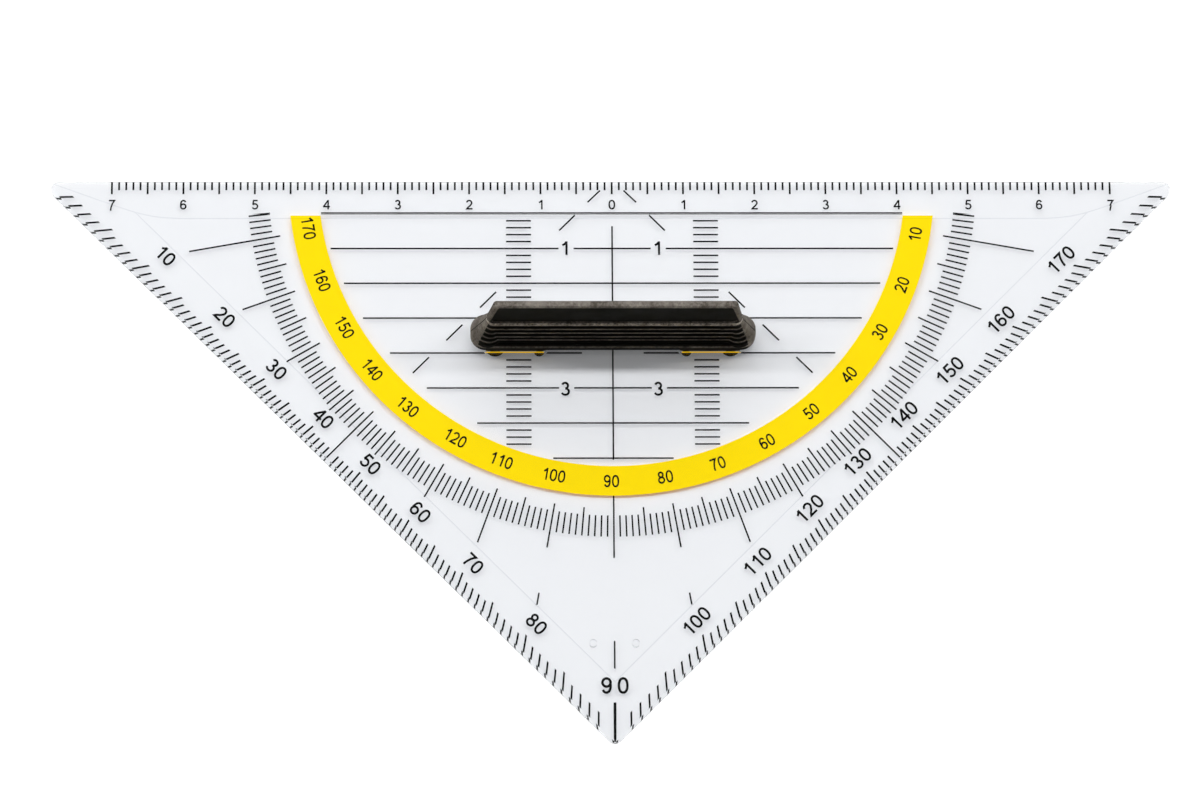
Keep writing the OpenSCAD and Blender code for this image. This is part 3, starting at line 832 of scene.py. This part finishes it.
class TRIANGLE_OT_plate(bpy.types.Operator):
    """Gives the plate its clear acrylic"""

    bl_idname = "triangle.plate"
    bl_label = "Clear Plate"

    def execute(self, context):
        look = context.scene.triangle_plate
        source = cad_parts["plate"].data
        bm = bmesh.new()
        bm.from_mesh(source)
        bmesh.ops.remove_doubles(bm, verts=bm.verts, dist=WELD_DISTANCE)
        bmesh.ops.dissolve_limit(bm, angle_limit=FLAT_ANGLE, verts=bm.verts, edges=bm.edges)
        rims = [e for e in bm.edges if self.is_rim(e)]
        if not rims:
            raise RuntimeError("no rim edges were found")
        made = bmesh.ops.bevel(bm, geom=rims, offset=look.rim_round, segments=RIM_SEGMENTS,
                               profile=0.5, affect="EDGES", clamp_overlap=True)
        for face in bm.faces:
            face.smooth = False
        for face in made["faces"]:
            face.smooth = True
        bm.normal_update()
        rounding = {v: self.rounded_normal(v) for face in made["faces"] for v in face.verts}
        bmesh.ops.triangulate(bm, faces=bm.faces)
        bm.verts.index_update()
        rounding = {v.index: normal for v, normal in rounding.items()}
        mesh = bpy.data.meshes.new("acrylic_plate")
        bm.to_mesh(mesh)
        bm.free()
        mesh.normals_split_custom_set([
            tuple(rounding[mesh.loops[i].vertex_index] if face.use_smooth else face.normal)
            for face in mesh.polygons for i in face.loop_indices])
        mesh.materials.append(acrylic_material(look))
        piece = placed("acrylic_plate", mesh)
        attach(piece, PLATE_BODY)
        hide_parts("plate")
        return {"FINISHED"}

    def rounded_normal(self, vert):
        """The rounding's normal at a vertex: the neighbouring flat face's, or else the mean."""
        mean = sum((f.normal for f in vert.link_faces if f.smooth), Vector()).normalized()
        flat = [f.normal.copy() for f in vert.link_faces if not f.smooth]
        return max(flat, key=mean.dot) if flat else mean

    def is_rim(self, edge):
        """Tells whether an edge lies between a gently sloping rim and its steep outer part."""
        if len(edge.link_faces) != 2:
            return False
        gentle, steep = sorted((f.normal.z for f in edge.link_faces), reverse=True)
        return gentle > GENTLE_RIM and STEEP_RIM_LOW < steep < STEEP_RIM_HIGH


class TRIANGLE_OT_print(bpy.types.Operator):
    """Keys the printed strokes and the yellow band into the plate's underside"""

    bl_idname = "triangle.print"
    bl_label = "Printed Strokes"

    def execute(self, context):
        look = context.scene.triangle_print
        middle_z = (UNDERSIDE_Z + INK_LOW_Z) / 2
        for names, material, slot in ((BLACK_NODES, black_ink(look), "black_ink"),
                                      (YELLOW_NODES, yellow_ink(look), "yellow_ink")):
            for name in names:
                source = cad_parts[name].data
                verts = [(v.co.x, v.co.y, v.co.z + (look.bond if v.co.z > middle_z else 0))
                         for v in source.vertices]
                faces = [tuple(p.vertices) for p in source.polygons]
                piece = new_piece("ink_" + name, verts, faces, material, PLATE_BODY)
                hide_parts(name)
        return {"FINISHED"}


class TRIANGLE_OT_numerals(bpy.types.Operator):
    """Prints the numbers of the ruler, the offset lines and the degree scales"""

    bl_idname = "triangle.numerals"
    bl_label = "Numerals"

    def execute(self, context):
        look = context.scene.triangle_print
        # Per number: text, place, reading direction, height, squeeze and tracking
        groups = {
            "ruler_numerals": [
                (str(abs(i)), printed(10 * i * MM, RULER_NUMBERS_Y), 0, look.ruler_height, 1.0, 1.0)
                for i in range(-7, 8)],
            "offset_line_numerals": [
                (text, printed(x * MM, y * MM), 0, look.line_height, 1.0, 1.0)
                for text, y in OFFSET_NUMBERS for x in OFFSET_NUMBERS_X],
            "band_numerals": [
                (str(d), band_place(d), 90 - d - BAND_TURN, look.band_height, BAND_SQUEEZE, 1.0)
                for d in range(10, 180, 10)],
        }
        for name, side, turn, start, growth, nudges in RIM_NUMBERS:
            groups[name] = [
                (str(d if side < 0 else 180 - d),
                 nudged(rim_place(side, d + start + growth * d, RIM_NUMBERS_DEPTH), nudges, d),
                 turn, look.rim_height, 1.0, RIM_TRACKING)
                for d in range(10, 90, 10)]
        groups["apex_numerals"] = [
            ("90", printed(0, APEX_NUMBER_Y), 0, look.apex_height, 1.0, APEX_TRACKING)]
        low_z, high_z = INK_LOW_Z - look.bond, UNDERSIDE_Z + 2 * look.bond
        for name, numbers in groups.items():
            verts, faces = [], []
            for number in numbers:
                add_number(verts, faces, *number, low_z, high_z)
            if not faces:
                raise RuntimeError(name + " came out empty")
            new_piece(name, verts, faces, black_ink(look), PLATE_BODY)
        return {"FINISHED"}


class TRIANGLE_OT_grip(bpy.types.Operator):
    """Gives the grip and its snap feet their moulded black plastic, with painted light and shade"""

    bl_idname = "triangle.grip"
    bl_label = "Finger Grip"

    def execute(self, context):
        look = context.scene.triangle_grip
        material = grip_material(look)
        set_material("handle_grip", material)
        colours = [[c * FOOT_SHADE for c in colour] for colour in (look.flank, look.flank_light)]
        foot = grained_material("black_plastic_feet", *colours, look.grain, PLASTIC_MOTTLE,
                                FOOT_ROUGHNESS, FOOT_BUMP, PLASTIC_SPECULAR)
        for node in ("left_snap_foot", "right_snap_foot"):
            set_material(node, foot)
        self.rib_marks(material)
        return {"FINISHED"}

    def rib_marks(self, material):
        """Two shallow round marks that the mould leaves on the upper ribs, on both flanks."""
        for name, side in (("front_rib_marks", -1), ("rear_rib_marks", 1)):
            verts, faces = [], []
            for x in (-MARK_X, MARK_X):
                add_cap(verts, faces, (x, GRIP_Y + side * MARK_Y, GRIP_LOW.z + MARK_Z), side,
                        MARK_R, MARK_RISE)
            new_piece(name, verts, faces, material, GRIP_BODY)


class TRIANGLE_OT_slot_edges(bpy.types.Operator):
    """Paints the yellow that each slot's wall mirrors as a glowing box just inside the acrylic
    above the hooks
    """

    bl_idname = "triangle.slot_edges"
    bl_label = "Slot Edges"

    def execute(self, context):
        look = context.scene.triangle_print
        verts, faces = [], []
        for side in (-1, 1):
            x0, x1 = sorted((side * SLOT_NEAR, side * SLOT_FAR))
            y0 = GRIP_Y - SLOT_HALF_W - look.edge_depth
            add_box(verts, faces, (x0, y0, UNDERSIDE_Z + look.edge_start),
                    (x1, y0 + look.edge_depth - look.bond * 4, UNDERSIDE_Z + look.edge_rise))
        # A painted reflection of the band that glows though it is no lamp
        material = ink_material("yellow_ink_slot", look.slot_yellow, look.yellow, YELLOW_MOTTLE)
        shader = next(n for n in material.node_tree.nodes
                      if n.bl_idname == "ShaderNodeBsdfPrincipled")
        shader.inputs["Emission Color"].default_value = (*look.slot_yellow, 1)
        shader.inputs["Emission Strength"].default_value = look.slot_glow
        new_piece("slot_edge_yellow", verts, faces, material, PLATE_BODY)
        return {"FINISHED"}


class TRIANGLE_OT_stage(bpy.types.Operator):
    """Sets the floor, the lamps, the sky and the camera"""

    bl_idname = "triangle.stage"
    bl_label = "Stage"

    def execute(self, context):
        look = context.scene.triangle_stage
        scene = context.scene
        scene.view_settings.view_transform = "Standard"
        self.floor(look)
        self.sky(scene, look)
        for name, place, size, power in LAMPS:
            self.lamp(name, place, size, getattr(look, power))
        self.camera(scene, look)
        return {"FINISHED"}

    def floor(self, look):
        """White paper that keeps the object's shadow and glows for the camera only."""
        mesh = bpy.data.meshes.new("floor")
        corners = [(x * FLOOR_HALF, y * FLOOR_HALF, 0)
                   for x, y in ((-1, -1), (1, -1), (1, 1), (-1, 1))]
        mesh.from_pydata(corners, [], [(0, 1, 2, 3)])
        material, g = blank_material("floor_paper")
        diffuse = g.node("ShaderNodeBsdfDiffuse", {"Color": (*look.floor, 1)})
        path = g.node("ShaderNodeLightPath").outputs
        away = g.node("ShaderNodeVectorMath", {0: g.node("ShaderNodeTexCoord").outputs["Object"]},
                      operation="LENGTH").outputs["Value"]
        white = g.remap(away, FLOOR_WHITE_NEAR, FLOOR_WHITE_FAR, look.floor_glow, 1.0)
        direct = g.times(path["Is Camera Ray"], white)
        through = g.most(path["Is Glossy Ray"], path["Is Transmission Ray"])
        through = g.times(through, look.floor_glow_through)
        glow = g.node("ShaderNodeEmission", {
            "Color": (1, 1, 1, 1), "Strength": g.math("ADD", direct, through)})
        both = g.node("ShaderNodeAddShader", {0: diffuse, 1: glow})
        g.node("ShaderNodeOutputMaterial", {"Surface": both})
        mesh.materials.append(material)
        floor = placed("floor", mesh)

    def sky(self, scene, look):
        """A weak sky with a soft canopy, a white wall in reflections, and white for the camera."""
        world = bpy.data.worlds.new("studio")
        world.use_nodes = True
        world.node_tree.nodes.clear()
        g = Graph(world.node_tree)
        path = g.node("ShaderNodeLightPath").outputs
        way = g.node("ShaderNodeTexCoord").outputs["Generated"]
        lobe = g.node("ShaderNodeVectorMath", {0: way, 1: CANOPY_WAY}, operation="DOT_PRODUCT")
        lobe = g.most(lobe.outputs["Value"], 0.0)
        lobe = g.math("POWER", lobe, CANOPY_SHARPNESS)
        lit = g.math("MULTIPLY_ADD", lobe, look.canopy, look.sky)
        up = g.node("ShaderNodeSeparateXYZ", {"Vector": way}).outputs["Z"]
        wall = g.remap(up, WALL_LOW, WALL_HIGH, 1.0, look.reflected_sky)
        level = g.node("ShaderNodeMix", {"Factor": path["Is Glossy Ray"], "A": lit, "B": wall})
        level = g.node("ShaderNodeMix", {
            "Factor": path["Is Transmission Ray"], "A": level, "B": look.sky_through})
        level = g.most(level, path["Is Camera Ray"])
        back = g.node("ShaderNodeBackground", {"Color": (1, 1, 1, 1), "Strength": level})
        g.node("ShaderNodeOutputWorld", {"Surface": back})
        scene.world = world

    def lamp(self, name, place, size, power):
        """A lamp that faces the plate and shows in no reflection."""
        data = bpy.data.lights.new(name, "AREA")
        data.shape = "RECTANGLE"
        data.size, data.size_y = size
        data.energy = power
        lamp = placed(name, data)
        lamp.location = place
        lamp.rotation_euler = (-Vector(place)).to_track_quat("-Z", "Y").to_euler()
        lamp.visible_glossy = False
        lamp.visible_transmission = False

    def camera(self, scene, look):
        """The photo's camera, placed from how it sees the print's zero."""
        data = bpy.data.cameras.new("camera")
        data.lens = look.lens
        data.sensor_width = SENSOR_WIDTH
        data.clip_start, data.clip_end = CLIP_START, CLIP_END
        turn = (Matrix.Rotation(look.tilt[0], 3, "X") @ Matrix.Rotation(look.tilt[1], 3, "Y")
                @ Matrix.Rotation(look.tilt[2], 3, "Z")).transposed()
        zero = Vector((0, PRINT_ZERO_Y, UNDERSIDE_Z + AIM_RISE))
        camera = placed("camera", data)
        camera.matrix_world = Matrix.Translation(zero - turn @ Vector(look.aim)) @ turn.to_4x4()
        scene.camera = camera


OPERATORS = (TRIANGLE_OT_plate, TRIANGLE_OT_print, TRIANGLE_OT_numerals, TRIANGLE_OT_grip,
             TRIANGLE_OT_slot_edges, TRIANGLE_OT_stage)
LOOKS = (("triangle_plate", TrianglePlateLook), ("triangle_print", TrianglePrintLook),
         ("triangle_grip", TriangleGripLook), ("triangle_stage", TriangleStageLook))


class TRIANGLE_PT_panel(bpy.types.Panel):
    """Lists the pieces of the geometry triangle"""

    bl_label = "Geometry Triangle"
    bl_idname = "TRIANGLE_PT_panel"
    bl_space_type = "VIEW_3D"
    bl_region_type = "UI"
    bl_category = "Geometry Triangle"

    def draw(self, context):
        for operator in OPERATORS:
            self.layout.operator(operator.bl_idname)
        for name, look in LOOKS:
            box = self.layout.box()
            for prop in look.__annotations__:
                box.prop(getattr(context.scene, name), prop)


def register():
    for name, look in LOOKS:
        bpy.utils.register_class(look)
        setattr(bpy.types.Scene, name, bpy.props.PointerProperty(type=look))
    for operator in OPERATORS:
        bpy.utils.register_class(operator)
    bpy.utils.register_class(TRIANGLE_PT_panel)


def unregister():
    bpy.utils.unregister_class(TRIANGLE_PT_panel)
    for operator in reversed(OPERATORS):
        bpy.utils.unregister_class(operator)
    for name, look in reversed(LOOKS):
        delattr(bpy.types.Scene, name)
        bpy.utils.unregister_class(look)


def main():
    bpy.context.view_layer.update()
    register()
    bpy.ops.triangle.plate()
    bpy.ops.triangle.print()
    bpy.ops.triangle.numerals()
    bpy.ops.triangle.grip()
    bpy.ops.triangle.slot_edges()
    bpy.ops.triangle.stage()


if __name__ == "__main__":
    main()
